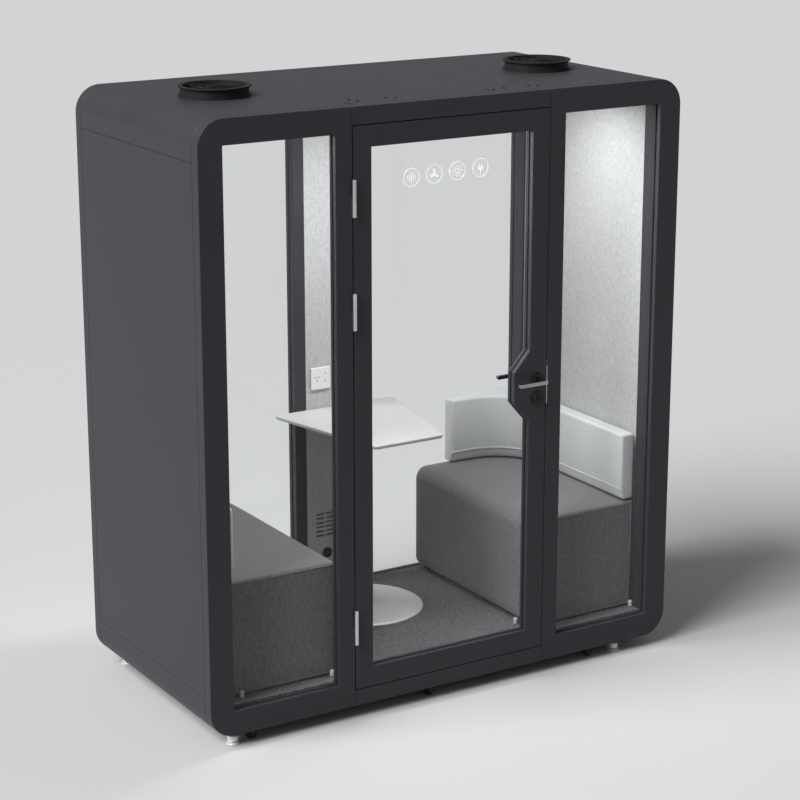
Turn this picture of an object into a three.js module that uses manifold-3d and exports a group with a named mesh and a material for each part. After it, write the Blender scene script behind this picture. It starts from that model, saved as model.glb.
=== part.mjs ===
// Two-seat acoustic office pod: steel shell, glazed front and rear, hinged glass door,
// felt lining, two facing seats and a table, standing on levelling feet with rollers.
// Millimetres, +Z up, front towards -Y.
import * as THREE from 'three';
import { mergeVertices } from 'three/addons/utils/BufferGeometryUtils.js';
import Module from 'manifold-3d';

const wasm = await Module();
wasm.setup();

// Shell
const WIDTH = 2010;
const DEPTH = 980;
const HEIGHT = 2200;
const CLEARANCE = 50;
const CORNER_R = 97;
const RING_DEPTH = 45;
const LIP_DEPTH = 50;
const LIP_THICK = 10;
const COLUMN_PROUD = 13;
const WALL = 68;
const ROOF_THICK = 60;
const DECK_TOP = 85;
const SEAM_INSET = 148;
const FIT = 0.3;

// Window bays and glass
const STILE_OUT = 93;
const FRONT_WINDOW = 430;
const FRONT_STILE_IN = 67;
const COLUMN_WIDTH = 186;
const REAR_STILE_IN = 50;
const RAIL_BOTTOM = 93;
const RAIL_TOP = 91;
const GLASS_THICK = 10;
const GLASS_SETBACK = 20;
const GLASS_BITE = 8;

// Door and its lock plate
const HEADER_TALL = 64;
const SILL_TALL = 62;
const DOOR_GAP = 3;
const DOOR_STILE = 73;
const DOOR_RAIL = 76;
const PLATE_REACH = 68;
const PLATE_Z = 1107;
const PLATE_FLAT = 116;
const PLATE_TALL = 270;

// Hinges
const HINGE_RISE = 245;
const HINGE_DROP = 248;
const HINGE_SPACING = 401;
const HINGE_TALL = 132;
const HINGE_R = 8;
const PIN_R = 3;

// Handle and lock
const HANDLE_INSET = 37;
const HANDLE_Z = 1128;
const LOCK_DROP = 71;
const ROSE_R = 26;
const ROSE_THICK = 8;
const NECK_R = 9;
const SPINDLE_R = 4;
const LEVER_LONG = 118;
const LEVER_TALL = 14;
const LEVER_THICK = 11;
const HANDLE_REACH = 58;
const BARREL_R = 9;
const BARREL_PROUD = 3;
const THUMB_REACH = 16;
const THUMB_LONG = 24;
const THUMB_THICK = 7;
const BOLT_LONG = 20;
const BOLT_THICK = 14;
const BOLT_TALL = 24;
const BOLT_PROUD = 1;
const BOLT_TRAVEL = 10;

// Lining and floor
const FELT = 12;
const CARPET_THICK = 13;
const SOCKET_SHIFT = -30;
const SOCKET_Z = 979;
const SOCKET_WIDE = 88;
const SOCKET_TALL = 90;
const SOCKET_THICK = 9;
const VENT_ROWS = 6;
const VENT_SHIFT = -11;
const VENT_LOW = 318;
const VENT_PITCH = 18;
const VENT_WIDE = 38;
const VENT_TALL = 8;
const VENT_SPACING = 47;
const LIGHT_LONG = 700;
const LIGHT_WIDE = 160;
const LIGHT_THICK = 14;

// Seats and backs
const SEAT_DEEP = 506;
const SEAT_TOP = 544;
const SEAT_FOOT = 10;
const SEAT_FOOT_R = 17;
const SEAT_FOOT_INSET = 55;
const SEAT_ROUND = 48;
const SEAT_EDGE = 8;
const SEAT_CROWN = 8;
const SEAT_FRONT = 100;
const BACK_TOP = 812;
const BACK_THICK = 62;
const BACK_RETURN = 335;
const BACK_CORNER_R = 220;
const BACK_ROUND = 10;
const BACK_LIFT = 2;

// Table
const TABLE_TOP = 855;
const TABLE_THICK = 14;
const TABLE_SHIFT = 35;
const TABLE_FRONT = 352;
const TABLE_REAR_WIDE = 546;
const TABLE_FRONT_WIDE = 306;
const TABLE_CORNER_R = 20;
const COLUMN_SHIFT = 10;
const COLUMN_Y = 648;
const COLUMN_R = 34;
const BASE_R = 233;
const BASE_THICK = 9;

// Roof fans
const FAN_INSET_LEFT = 318;
const FAN_INSET_RIGHT = 314;
const FAN_R = 122;
const FAN_WALL = 9;
const FAN_FLANGE = 8;
const FAN_FLANGE_THICK = 5;
const FAN_TALL = 38;
const FAN_HUB_R = 34;
const FAN_BLADES = 7;
const BLADE_GAP = 5;
const BLADE_THICK = 2.4;
const BLADE_WIDE = 30;
const BLADE_PITCH = 0.42;
const WIRE = 3;
const GUARD_RINGS = 3;

// Feet and rollers
const FOOT_INSET_LEFT = 110;
const FOOT_INSET_RIGHT = 210;
const FOOT_PAD_R = 26;
const FOOT_PAD_THICK = 9;
const FOOT_STEM_R = 8;
const ROLLER_INSET_LEFT = 185;
const ROLLER_INSET_RIGHT = 335;
const ROLLER_MIDDLE_SHIFT = -65;
const EDGE_INSET = 50;
const WHEEL_R = 17;
const WHEEL_WIDE = 18;
const WHEEL_LIFT = 1.5;
const AXLE_R = 3;
const FORK_THICK = 3;
const FORK_PLATE = 4;
const RUNNING = 0.4;

// Places worked out from the sizes above
const FRONT_BAY = STILE_OUT + FRONT_WINDOW + FRONT_STILE_IN;
const REAR_BAY = (WIDTH - COLUMN_WIDTH) / 2;
const CARPET_TOP = DECK_TOP + FIT + CARPET_THICK;
const LINING_X = WALL + FIT + FELT;
const ROOF_UNDER = HEIGHT - ROOF_THICK;
const CEILING_UNDER = ROOF_UNDER - FIT - FELT;
const DOOR_X0 = FRONT_BAY + DOOR_GAP;
const DOOR_X1 = WIDTH - DOOR_X0;
const DOOR_Z0 = SILL_TALL + DOOR_GAP;
const DOOR_Z1 = HEIGHT - HEADER_TALL - DOOR_GAP;
const HANDLE_X = DOOR_X1 - HANDLE_INSET;
const INNER_REAR = DEPTH - RING_DEPTH - COLUMN_PROUD;
const HINGE_TOP = DOOR_Z1 - HINGE_DROP;
const HINGE_ZS = [DOOR_Z0 + HINGE_RISE, HINGE_TOP - HINGE_SPACING, HINGE_TOP];
const SOCKET_X = WIDTH / 2 + SOCKET_SHIFT;
const TABLE_X = WIDTH / 2 + TABLE_SHIFT;
const COLUMN_X = WIDTH / 2 + COLUMN_SHIFT;
const FAN_Y = DEPTH / 2;
const FAN_XS = [FAN_INSET_LEFT, WIDTH - FAN_INSET_RIGHT];
const FOOT_XS = [FOOT_INSET_LEFT, WIDTH - FOOT_INSET_RIGHT];
const ROLLER_REAR_XS = [ROLLER_INSET_LEFT, WIDTH - ROLLER_INSET_RIGHT];
const ROLLER_XS = [ROLLER_INSET_LEFT, WIDTH / 2 + ROLLER_MIDDLE_SHIFT, WIDTH - ROLLER_INSET_RIGHT];

const paint = { color: 0x45464a, roughness: 0.5, metalness: 0.2 };
const black = { color: 0x151517, roughness: 0.45, metalness: 0.1 };
const steel = { color: 0xb9bcc0, roughness: 0.3, metalness: 0.9 };
const glass = { color: 0xdfe7ea, roughness: 0.05, metalness: 0 };
const felt = { color: 0xcdd0d2, roughness: 0.95, metalness: 0 };
const carpet = { color: 0x66676a, roughness: 1, metalness: 0 };
const seatCloth = { color: 0x5f6063, roughness: 0.95, metalness: 0 };
const white = { color: 0xebebeb, roughness: 0.4, metalness: 0 };

// Geometry helpers

function toSolid(geometry) {
  const bare = geometry.clone();
  bare.deleteAttribute('normal');
  bare.deleteAttribute('uv');
  const merged = mergeVertices(bare, 1e-4);
  const index = Array.from(merged.index.array);
  const triangles = [];
  for (let i = 0; i < index.length; i += 3) {
    const [a, b, c] = index.slice(i, i + 3);
    if (a !== b && b !== c && c !== a) triangles.push(a, b, c);
  }
  return new wasm.Manifold(new wasm.Mesh({
    numProp: 3,
    vertProperties: new Float32Array(merged.attributes.position.array),
    triVerts: new Uint32Array(triangles),
  }));
}

function toGeometry(solid) {
  const mesh = solid.getMesh();
  const geometry = new THREE.BufferGeometry();
  geometry.setAttribute('position', new THREE.BufferAttribute(mesh.vertProperties, 3));
  geometry.setIndex(new THREE.BufferAttribute(mesh.triVerts, 1));
  return geometry;
}

function join(...shapes) {
  return toGeometry(shapes.map(toSolid).reduce((whole, shape) => whole.add(shape)));
}

function cut(body, ...tools) {
  return toGeometry(tools.reduce((whole, tool) => whole.subtract(toSolid(tool)), toSolid(body)));
}

function box(x0, x1, y0, y1, z0, z1) {
  const geometry = new THREE.BoxGeometry(x1 - x0, y1 - y0, z1 - z0);
  return geometry.translate((x0 + x1) / 2, (y0 + y1) / 2, (z0 + z1) / 2);
}

// A shape drawn in x and z, run along y from y0 to y1.
function alongY(shape, y0, y1) {
  const geometry = new THREE.ExtrudeGeometry(shape, {
    depth: y1 - y0, bevelEnabled: false, curveSegments: 8,
  });
  return geometry.rotateX(Math.PI / 2).translate(0, y1, 0);
}

// A profile of [radius, height] turned about an upright axis at x, y.
function turned(profile, x, y, sides = 32) {
  const points = profile.map(([r, h]) => new THREE.Vector2(r, h));
  return new THREE.LatheGeometry(points, sides).rotateX(Math.PI / 2).translate(x, y, 0);
}

function disc(r, z0, z1, x, y, sides = 32) {
  return turned([[0, z0], [r, z0], [r, z1], [0, z1]], x, y, sides);
}

// A round bar that runs along y through the point x, z.
function barY(r, y0, y1, x, z, sides = 24) {
  const geometry = new THREE.CylinderGeometry(r, r, y1 - y0, sides);
  return geometry.translate(x, (y0 + y1) / 2, z);
}

function polygon(points) {
  return new THREE.Shape(points.map(([x, y]) => new THREE.Vector2(x, y)));
}

// Moves every edge of an anticlockwise outline outwards by the same distance.
function grow(points, distance) {
  const edges = points.map((start, i) => {
    const end = points[(i + 1) % points.length];
    const long = Math.hypot(end[0] - start[0], end[1] - start[1]);
    const along = [(end[0] - start[0]) / long, (end[1] - start[1]) / long];
    return { from: [start[0] + along[1] * distance, start[1] - along[0] * distance], along };
  });
  return edges.map((edge, i) => {
    const last = edges[(i + edges.length - 1) % edges.length];
    const turn = last.along[0] * edge.along[1] - last.along[1] * edge.along[0];
    const apart = [edge.from[0] - last.from[0], edge.from[1] - last.from[1]];
    const step = (apart[0] * edge.along[1] - apart[1] * edge.along[0]) / turn;
    return [last.from[0] + last.along[0] * step, last.from[1] + last.along[1] * step];
  });
}

const pod = new THREE.Group();
pod.position.set(-WIDTH / 2, (HANDLE_REACH - DEPTH) / 2, CLEARANCE);

function add(name, geometry, finish) {
  const mesh = new THREE.Mesh(geometry, new THREE.MeshStandardMaterial(finish));
  mesh.name = name;
  pod.add(mesh);
  return mesh;
}

// Shell: base tray, side panels and roof between the front and rear rings

function trayProfile() {
  const top = SEAM_INSET - FIT;
  const shape = new THREE.Shape();
  shape.moveTo(0, top);
  shape.lineTo(0, CORNER_R);
  shape.absarc(CORNER_R, CORNER_R, CORNER_R, Math.PI, Math.PI * 1.5, false);
  shape.lineTo(WIDTH - CORNER_R, 0);
  shape.absarc(WIDTH - CORNER_R, CORNER_R, CORNER_R, Math.PI * 1.5, Math.PI * 2, false);
  shape.lineTo(WIDTH, top);
  shape.lineTo(WIDTH - WALL, top);
  shape.lineTo(WIDTH - WALL, DECK_TOP);
  shape.lineTo(WALL, DECK_TOP);
  shape.lineTo(WALL, top);
  return shape;
}

function roofProfile() {
  const low = HEIGHT - SEAM_INSET + FIT;
  const centre = HEIGHT - CORNER_R;
  const shape = new THREE.Shape();
  shape.moveTo(0, low);
  shape.lineTo(WALL, low);
  shape.lineTo(WALL, ROOF_UNDER);
  shape.lineTo(WIDTH - WALL, ROOF_UNDER);
  shape.lineTo(WIDTH - WALL, low);
  shape.lineTo(WIDTH, low);
  shape.lineTo(WIDTH, centre);
  shape.absarc(WIDTH - CORNER_R, centre, CORNER_R, 0, Math.PI / 2, false);
  shape.lineTo(CORNER_R, HEIGHT);
  shape.absarc(CORNER_R, centre, CORNER_R, Math.PI / 2, Math.PI, false);
  return shape;
}

const SHELL_Y0 = RING_DEPTH + FIT;
const SHELL_Y1 = DEPTH - RING_DEPTH - FIT;
const AIRWAY_R = FAN_R - FAN_WALL;
const airways = FAN_XS.map((x) => disc(AIRWAY_R, ROOF_UNDER - 2 * FELT, HEIGHT + FELT, x, FAN_Y, 40));

add('base_tray', alongY(trayProfile(), SHELL_Y0, SHELL_Y1), paint);
add('roof_shell', cut(alongY(roofProfile(), SHELL_Y0, SHELL_Y1), ...airways), paint);
add('left_side_panel', box(0, WALL, SHELL_Y0, SHELL_Y1, SEAM_INSET, HEIGHT - SEAM_INSET), paint);
add('right_side_panel',
  box(WIDTH - WALL, WIDTH, SHELL_Y0, SHELL_Y1, SEAM_INSET, HEIGHT - SEAM_INSET), paint);

// Window frames: a flat ring with two round outer corners, a groove for the glass and an inner lip

function bayOutline(bay) {
  const shape = new THREE.Shape();
  shape.moveTo(bay, 0);
  shape.lineTo(bay, HEIGHT);
  shape.lineTo(CORNER_R, HEIGHT);
  shape.absarc(CORNER_R, HEIGHT - CORNER_R, CORNER_R, Math.PI / 2, Math.PI, false);
  shape.lineTo(0, CORNER_R);
  shape.absarc(CORNER_R, CORNER_R, CORNER_R, Math.PI, Math.PI * 1.5, false);
  return shape;
}

const GLASS_Y0 = GLASS_SETBACK;
const GLASS_Y1 = GLASS_SETBACK + GLASS_THICK;
const WINDOW_Z1 = HEIGHT - RAIL_TOP;
const LIP_Z0 = CARPET_TOP + FIT;

function windowFrame(bay, stileIn, stileProud) {
  const x0 = STILE_OUT;
  const x1 = bay - stileIn;
  const lipTop = WINDOW_Z1 + LIP_THICK;
  const backs = [box(x0 - LIP_THICK, x1, RING_DEPTH - 1, RING_DEPTH + LIP_DEPTH, LIP_Z0, lipTop)];
  if (stileProud > 0) backs.push(box(x1, bay, RING_DEPTH - 1, RING_DEPTH + stileProud, LIP_Z0, lipTop));
  const ring = join(alongY(bayOutline(bay), 0, RING_DEPTH), ...backs);
  const opening = box(x0, x1, -1, RING_DEPTH + LIP_DEPTH + 1, RAIL_BOTTOM, WINDOW_Z1);
  const bite = GLASS_BITE + FIT;
  const groove = box(x0 - bite, x1 + bite, GLASS_Y0 - FIT, GLASS_Y1 + FIT, RAIL_BOTTOM - bite,
    WINDOW_Z1 + bite);
  return cut(ring, opening, groove);
}

function windowGlass(bay, stileIn) {
  return box(STILE_OUT - GLASS_BITE, bay - stileIn + GLASS_BITE, GLASS_Y0, GLASS_Y1,
    RAIL_BOTTOM - GLASS_BITE, WINDOW_Z1 + GLASS_BITE);
}

const bays = [
  { name: 'front_left', mirror: false, rear: false },
  { name: 'front_right', mirror: true, rear: false },
  { name: 'rear_left', mirror: false, rear: true },
  { name: 'rear_right', mirror: true, rear: true },
];
for (const bay of bays) {
  const width = bay.rear ? REAR_BAY : FRONT_BAY;
  const stileIn = bay.rear ? REAR_STILE_IN : FRONT_STILE_IN;
  const pieces = [
    add(`${bay.name}_frame`, windowFrame(width, stileIn, bay.rear ? COLUMN_PROUD : 0), paint),
    add(`${bay.name}_glass`, windowGlass(width, stileIn), glass),
  ];
  for (const piece of pieces) {
    piece.scale.set(bay.mirror ? -1 : 1, bay.rear ? -1 : 1, 1);
    piece.position.set(bay.mirror ? WIDTH : 0, bay.rear ? DEPTH : 0, 0);
  }
}

const DOORWAY_X0 = FRONT_BAY + FIT;
const DOORWAY_X1 = WIDTH - DOORWAY_X0;
add('front_header', box(DOORWAY_X0, DOORWAY_X1, 0, RING_DEPTH, HEIGHT - HEADER_TALL, HEIGHT), paint);
add('front_sill', box(DOORWAY_X0, DOORWAY_X1, 0, RING_DEPTH, 0, SILL_TALL), paint);

// Rear service column: steel cover outside, felt with vent slots and a socket inside

const COLUMN_X0 = REAR_BAY + FIT;
const COLUMN_X1 = WIDTH - COLUMN_X0;
add('rear_column_cover', box(COLUMN_X0, COLUMN_X1, DEPTH - RING_DEPTH, DEPTH, 0, HEIGHT), paint);

const COLUMN_FELT_Y1 = INNER_REAR + FELT;
const ventSlots = [];
for (const side of [-1, 1]) {
  for (let row = 0; row < VENT_ROWS; row += 1) {
    const x = WIDTH / 2 + VENT_SHIFT + side * VENT_SPACING / 2;
    const z = VENT_LOW + row * VENT_PITCH;
    ventSlots.push(box(x - VENT_WIDE / 2, x + VENT_WIDE / 2, INNER_REAR - FELT,
      COLUMN_FELT_Y1 + FELT, z - VENT_TALL / 2, z + VENT_TALL / 2));
  }
}
const columnFelt = box(COLUMN_X0, COLUMN_X1, INNER_REAR, COLUMN_FELT_Y1, LIP_Z0, CEILING_UNDER - FIT);
add('rear_column_felt', cut(columnFelt, ...ventSlots), felt);
add('socket_plate', box(SOCKET_X - SOCKET_WIDE / 2, SOCKET_X + SOCKET_WIDE / 2,
  INNER_REAR - FIT - SOCKET_THICK, INNER_REAR - FIT,
  SOCKET_Z - SOCKET_TALL / 2, SOCKET_Z + SOCKET_TALL / 2), white);

// Lining, carpet and ceiling light

const LINING_Y0 = RING_DEPTH + FIT;
const LINING_Y1 = DEPTH - RING_DEPTH - FIT;
const liningZ = [CARPET_TOP + FIT, ROOF_UNDER - FIT];
add('carpet', box(WALL + FIT, WIDTH - WALL - FIT, LINING_Y0, LINING_Y1, DECK_TOP + FIT, CARPET_TOP),
  carpet);
add('left_wall_felt', box(WALL + FIT, LINING_X, LINING_Y0, LINING_Y1, ...liningZ), felt);
add('right_wall_felt',
  box(WIDTH - LINING_X, WIDTH - WALL - FIT, LINING_Y0, LINING_Y1, ...liningZ), felt);
const ceiling = box(LINING_X + FIT, WIDTH - LINING_X - FIT, LINING_Y0, LINING_Y1, CEILING_UNDER,
  ROOF_UNDER - FIT);
add('ceiling_felt', cut(ceiling, ...airways), felt);
add('ceiling_light', box((WIDTH - LIGHT_LONG) / 2, (WIDTH + LIGHT_LONG) / 2,
  (DEPTH - LIGHT_WIDE) / 2, (DEPTH + LIGHT_WIDE) / 2,
  CEILING_UNDER - FIT - LIGHT_THICK, CEILING_UNDER - FIT), white);

// Door: glazed frame whose lock stile swells into the glass round the handle

const doorOpening = [
  [DOOR_X0 + DOOR_STILE, DOOR_Z0 + DOOR_RAIL],
  [DOOR_X1 - DOOR_STILE, DOOR_Z0 + DOOR_RAIL],
  [DOOR_X1 - DOOR_STILE, PLATE_Z - PLATE_TALL / 2],
  [DOOR_X1 - DOOR_STILE - PLATE_REACH, PLATE_Z - PLATE_FLAT / 2],
  [DOOR_X1 - DOOR_STILE - PLATE_REACH, PLATE_Z + PLATE_FLAT / 2],
  [DOOR_X1 - DOOR_STILE, PLATE_Z + PLATE_TALL / 2],
  [DOOR_X1 - DOOR_STILE, DOOR_Z1 - DOOR_RAIL],
  [DOOR_X0 + DOOR_STILE, DOOR_Z1 - DOOR_RAIL],
];
const BOLT_X1 = DOOR_X1 + BOLT_PROUD;
const BOLT_X0 = BOLT_X1 - BOLT_LONG;
const BOLT_Y = RING_DEPTH / 2;
const LOCK_Z = HANDLE_Z - LOCK_DROP;
const boltPocket = box(BOLT_X0 - BOLT_TRAVEL - 1, DOOR_X1 + 1,
  BOLT_Y - BOLT_THICK / 2 - RUNNING, BOLT_Y + BOLT_THICK / 2 + RUNNING,
  HANDLE_Z - BOLT_TALL / 2 - RUNNING, HANDLE_Z + BOLT_TALL / 2 + RUNNING);
add('door_frame', cut(
  box(DOOR_X0, DOOR_X1, 0, RING_DEPTH, DOOR_Z0, DOOR_Z1),
  alongY(polygon(doorOpening), -1, RING_DEPTH + 1),
  alongY(polygon(grow(doorOpening, GLASS_BITE + FIT)), GLASS_Y0 - FIT, GLASS_Y1 + FIT),
  barY(SPINDLE_R + RUNNING, -1, RING_DEPTH + 1, HANDLE_X, HANDLE_Z),
  barY(BARREL_R + RUNNING, -1, RING_DEPTH + 1, HANDLE_X, LOCK_Z),
  boltPocket,
), paint);
add('door_glass', alongY(polygon(grow(doorOpening, GLASS_BITE)), GLASS_Y0, GLASS_Y1), glass);

// Hinges: a frame knuckle with its pin below, a bored door knuckle above

const HINGE_X = (FRONT_BAY + DOOR_X0) / 2;
const HINGE_Y = -HINGE_R - FIT;
HINGE_ZS.forEach((centre, i) => {
  const low = centre - HINGE_TALL / 2;
  const high = centre + HINGE_TALL / 2;
  const pinTop = high - HINGE_R;
  const bore = PIN_R + RUNNING;
  const frameBarrel = turned([[0, low], [HINGE_R, low], [HINGE_R, centre - FIT], [PIN_R, centre - FIT],
    [PIN_R, pinTop], [0, pinTop]], HINGE_X, HINGE_Y, 20);
  const frameFoot = box(HINGE_X - HINGE_R, HINGE_X - DOOR_GAP / 2 - FIT, HINGE_Y, -FIT, low, centre - FIT);
  const doorBarrel = turned([[0, pinTop + RUNNING], [bore, pinTop + RUNNING], [bore, centre],
    [HINGE_R, centre], [HINGE_R, high], [0, high]], HINGE_X, HINGE_Y, 20);
  const doorFoot = box(HINGE_X + DOOR_GAP / 2 + FIT, HINGE_X + HINGE_R, HINGE_Y, -FIT, centre, high);
  const pinRoom = turned([[0, centre - 1], [bore, centre - 1], [bore, pinTop + RUNNING],
    [0, pinTop + RUNNING]], HINGE_X, HINGE_Y, 20);
  add(`hinge_frame_knuckle_${i + 1}`, join(frameBarrel, frameFoot), steel);
  add(`hinge_door_knuckle_${i + 1}`, cut(join(doorBarrel, doorFoot), pinRoom), steel);
});

// Lever handles on one spindle, their rose, the keyed lock and the latch bolt

function leverBar(y0, y1) {
  const half = LEVER_TALL / 2;
  const tip = HANDLE_X - LEVER_LONG + half;
  const shape = new THREE.Shape();
  shape.moveTo(tip, HANDLE_Z - half);
  shape.lineTo(HANDLE_X, HANDLE_Z - half);
  shape.absarc(HANDLE_X, HANDLE_Z, half, -Math.PI / 2, Math.PI / 2, false);
  shape.lineTo(tip, HANDLE_Z + half);
  shape.absarc(tip, HANDLE_Z, half, Math.PI / 2, Math.PI * 1.5, false);
  return alongY(shape, y0, y1);
}

function rose(z, bore, y0) {
  return cut(barY(ROSE_R, y0, y0 + ROSE_THICK, HANDLE_X, z, 32),
    barY(bore, y0 - 1, y0 + ROSE_THICK + 1, HANDLE_X, z));
}

const ROSE_Y0 = -FIT - ROSE_THICK;
const NECK_IN = RING_DEPTH + FIT;
const SPINDLE_END = NECK_IN + HANDLE_REACH / 2;
add('rose_outside', rose(HANDLE_Z, NECK_R + RUNNING, ROSE_Y0), black);
add('lock_rose_outside', rose(LOCK_Z, BARREL_R + RUNNING, ROSE_Y0), black);
add('lever_outside', join(
  leverBar(-HANDLE_REACH, LEVER_THICK - HANDLE_REACH),
  barY(NECK_R, 1 - HANDLE_REACH, -FIT, HANDLE_X, HANDLE_Z),
  barY(SPINDLE_R, -1, SPINDLE_END, HANDLE_X, HANDLE_Z),
), black);
const INSIDE_REACH = RING_DEPTH + HANDLE_REACH;
add('lever_inside', cut(
  join(leverBar(INSIDE_REACH - LEVER_THICK, INSIDE_REACH),
    barY(NECK_R, NECK_IN, INSIDE_REACH - 1, HANDLE_X, HANDLE_Z)),
  barY(SPINDLE_R + FIT, NECK_IN - 1, SPINDLE_END + FIT, HANDLE_X, HANDLE_Z),
), black);
const keySlot = box(HANDLE_X - 1, HANDLE_X + 1, ROSE_Y0 - BARREL_PROUD - 1, ROSE_Y0,
  LOCK_Z - BARREL_R / 2, LOCK_Z + BARREL_R / 2);
add('lock_cylinder', cut(join(
  barY(BARREL_R, ROSE_Y0 - BARREL_PROUD, RING_DEPTH + BARREL_PROUD, HANDLE_X, LOCK_Z),
  box(HANDLE_X - THUMB_THICK / 2, HANDLE_X + THUMB_THICK / 2, RING_DEPTH + 1, RING_DEPTH + THUMB_REACH,
    LOCK_Z - THUMB_LONG / 2, LOCK_Z + THUMB_LONG / 2),
), keySlot), black);
add('latch_bolt', box(BOLT_X0, BOLT_X1, BOLT_Y - BOLT_THICK / 2, BOLT_Y + BOLT_THICK / 2,
  HANDLE_Z - BOLT_TALL / 2, HANDLE_Z + BOLT_TALL / 2), steel);

// Seats: upholstered blocks on short feet, with L-shaped back pads round the rear corner

const SEAT_X0 = STILE_OUT + FIT;
const SEAT_X1 = SEAT_X0 + SEAT_DEEP;
const SEAT_Y1 = INNER_REAR - FIT;
const SEAT_LOW = CARPET_TOP + FIT + SEAT_FOOT;

function seatBlock() {
  const x0 = SEAT_X0 + SEAT_EDGE;
  const x1 = SEAT_X1 - SEAT_EDGE;
  const low = SEAT_LOW + SEAT_EDGE;
  const high = SEAT_TOP - SEAT_CROWN - SEAT_EDGE;
  const bend = SEAT_ROUND - SEAT_EDGE;
  const shape = new THREE.Shape();
  shape.moveTo(x0, low);
  shape.lineTo(x1 - bend, low);
  shape.absarc(x1 - bend, low + bend, bend, -Math.PI / 2, 0, false);
  shape.lineTo(x1, high - bend);
  shape.absarc(x1 - bend, high - bend, bend, 0, Math.PI / 2, false);
  shape.quadraticCurveTo((x0 + x1 - bend) / 2, high + 2 * SEAT_CROWN, x0, high);
  const block = new THREE.ExtrudeGeometry(shape, {
    depth: SEAT_Y1 - SEAT_FRONT - 2 * SEAT_EDGE, curveSegments: 8,
    bevelThickness: SEAT_EDGE, bevelSize: SEAT_EDGE, bevelSegments: 2,
  });
  const feet = [SEAT_X0 + SEAT_FOOT_INSET, SEAT_X1 - SEAT_FOOT_INSET].flatMap((x) => (
    [SEAT_FRONT + SEAT_FOOT_INSET, SEAT_Y1 - SEAT_FOOT_INSET].map((y) => (
      disc(SEAT_FOOT_R, CARPET_TOP + FIT, SEAT_LOW + SEAT_ROUND, x, y, 16)))));
  return join(block.rotateX(Math.PI / 2).translate(0, SEAT_Y1 - SEAT_EDGE, 0), ...feet);
}

function backPad() {
  const x0 = SEAT_X0 + BACK_ROUND;
  const y0 = SEAT_FRONT + BACK_ROUND;
  const y1 = SEAT_Y1 - BACK_ROUND;
  const slim = BACK_THICK - 2 * BACK_ROUND;
  const shape = new THREE.Shape();
  shape.moveTo(x0, y0);
  shape.lineTo(x0 + slim, y0);
  shape.lineTo(x0 + slim, y1 - slim - BACK_CORNER_R);
  shape.absarc(x0 + slim + BACK_CORNER_R, y1 - slim - BACK_CORNER_R, BACK_CORNER_R, Math.PI,
    Math.PI / 2, true);
  shape.lineTo(x0 + BACK_RETURN, y1 - slim);
  shape.lineTo(x0 + BACK_RETURN, y1);
  shape.lineTo(x0, y1);
  const low = SEAT_TOP + BACK_LIFT;
  const pad = new THREE.ExtrudeGeometry(shape, {
    depth: BACK_TOP - low - 2 * BACK_ROUND, curveSegments: 8,
    bevelThickness: BACK_ROUND, bevelSize: BACK_ROUND, bevelSegments: 2,
  });
  return pad.translate(0, 0, low + BACK_ROUND);
}

for (const side of ['left', 'right']) {
  const pieces = [add(`${side}_seat`, seatBlock(), seatCloth), add(`${side}_back_pad`, backPad(), felt)];
  for (const piece of pieces) {
    piece.scale.x = side === 'right' ? -1 : 1;
    piece.position.x = side === 'right' ? WIDTH : 0;
  }
}

// Table: tapered top with round corners on a turned pedestal

function tableOutline() {
  const rear = INNER_REAR - FIT;
  const corners = [
    [TABLE_X - TABLE_REAR_WIDE / 2, rear],
    [TABLE_X - TABLE_FRONT_WIDE / 2, TABLE_FRONT],
    [TABLE_X + TABLE_FRONT_WIDE / 2, TABLE_FRONT],
    [TABLE_X + TABLE_REAR_WIDE / 2, rear],
  ].map(([x, y]) => new THREE.Vector2(x, y));
  const shape = new THREE.Shape();
  corners.forEach((corner, i) => {
    const before = corners[(i + 3) % 4].clone().sub(corner).setLength(TABLE_CORNER_R).add(corner);
    const after = corners[(i + 1) % 4].clone().sub(corner).setLength(TABLE_CORNER_R).add(corner);
    if (i === 0) shape.moveTo(before.x, before.y);
    else shape.lineTo(before.x, before.y);
    shape.quadraticCurveTo(corner.x, corner.y, after.x, after.y);
  });
  return shape;
}

const tableTop = new THREE.ExtrudeGeometry(tableOutline(), {
  depth: TABLE_THICK, bevelEnabled: false, curveSegments: 6,
});
const TABLE_UNDER = TABLE_TOP - TABLE_THICK;
add('table_top', tableTop.translate(0, 0, TABLE_UNDER), white);
const BASE_Z = CARPET_TOP + FIT;
add('table_pedestal', turned([[0, BASE_Z], [BASE_R, BASE_Z], [BASE_R, BASE_Z + BASE_THICK / 2],
  [BASE_R - BASE_THICK, BASE_Z + BASE_THICK], [COLUMN_R, BASE_Z + BASE_THICK],
  [COLUMN_R, TABLE_UNDER - FIT], [0, TABLE_UNDER - FIT]], COLUMN_X, COLUMN_Y, 32), steel);

// Roof fans: flanged barrel with a wire guard and motor spider, and a bladed rotor inside

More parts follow.
